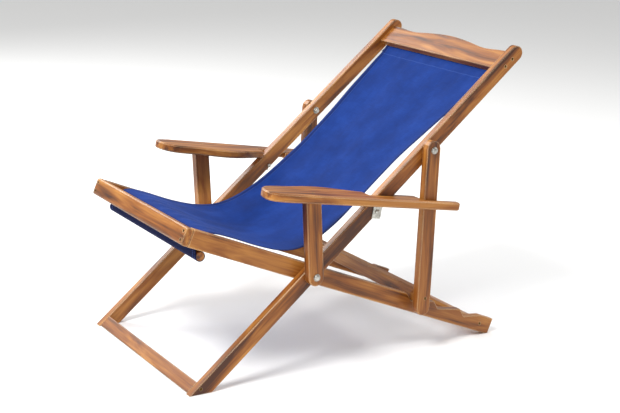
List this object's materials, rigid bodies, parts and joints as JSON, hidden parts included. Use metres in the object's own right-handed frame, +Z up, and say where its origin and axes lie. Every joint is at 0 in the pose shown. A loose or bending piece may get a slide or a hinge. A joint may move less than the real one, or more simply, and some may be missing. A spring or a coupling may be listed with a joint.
{
  "type": "beach chair",
  "caption": "Folding wooden deck chair with arms on posts, a slack canvas sling, a notched seat frame and a prop frame behind that sets the lean.",
  "frame": {"origin": "on the floor, in the middle of the chair's footprint", "axes": "+Z up, the sitter faces -Y, +X is the sitter's left"},
  "size_m": [0.69, 1.041, 0.8537],
  "materials": {
    "wood": "oiled hardwood with an open grain",
    "canvas": "plain-woven cotton canvas, royal blue",
    "steel": "zinc plated",
    "brass": "satin, a little tarnished"
  },
  "bodies": {
    "back_frame": {"back_rail_left": "wood", "back_rail_right": "wood", "foot_bar": "wood", "head_board": "wood", "arm_left": "wood", "arm_post_left": "wood", "arm_bracket_left": "steel", "bracket_bolt_left": "steel", "bracket_nut_left": "steel", "arm_right": "wood", "arm_post_right": "wood", "arm_bracket_right": "steel", "bracket_bolt_right": "steel", "bracket_nut_right": "steel", "sling": "canvas", "head_dowel": "wood", "pivot_bolt_left": "steel", "pivot_washer_outer_left": "steel", "pivot_washer_inner_left": "steel", "pivot_nut_left": "steel", "prop_bolt_left": "steel", "prop_washer_outer_left": "steel", "prop_washer_inner_left": "steel", "prop_nut_left": "steel", "pivot_bolt_right": "steel", "pivot_washer_outer_right": "steel", "pivot_washer_inner_right": "steel", "pivot_nut_right": "steel", "prop_bolt_right": "steel", "prop_washer_outer_right": "steel", "prop_washer_inner_right": "steel", "prop_nut_right": "steel", "head_screw_left_1": "brass", "head_screw_left_2": "brass", "foot_screw_left": "brass", "arm_screw_left": "brass", "head_screw_right_1": "brass", "head_screw_right_2": "brass", "foot_screw_right": "brass", "arm_screw_right": "brass"},
    "seat_frame": {"seat_rail_left": "wood", "seat_rail_right": "wood", "knee_bar": "wood", "rear_bar": "wood", "knee_dowel": "wood", "rear_screw_left": "brass", "knee_screw_left_1": "brass", "knee_screw_left_2": "brass", "rear_screw_right": "brass", "knee_screw_right_1": "brass", "knee_screw_right_2": "brass"},
    "prop_frame": {"prop_leg_left": "wood", "prop_leg_right": "wood", "prop_bar": "wood", "prop_screw_left": "brass", "prop_screw_right": "brass"}
  },
  "joints": [
    {"name": "frame_fold", "type": "hinge", "parent": "back_frame", "child": "seat_frame", "pos_m": [0, -0.14717, 0.27649], "axis": [1, 0, 0], "range_deg": [-25, 0], "deforming": ["sling"]},
    {"name": "prop_swing", "type": "hinge", "parent": "back_frame", "child": "prop_frame", "pos_m": [0, 0.21294, 0.58624], "axis": [1, 0, 0], "range_deg": [0, 130]}
  ]
}
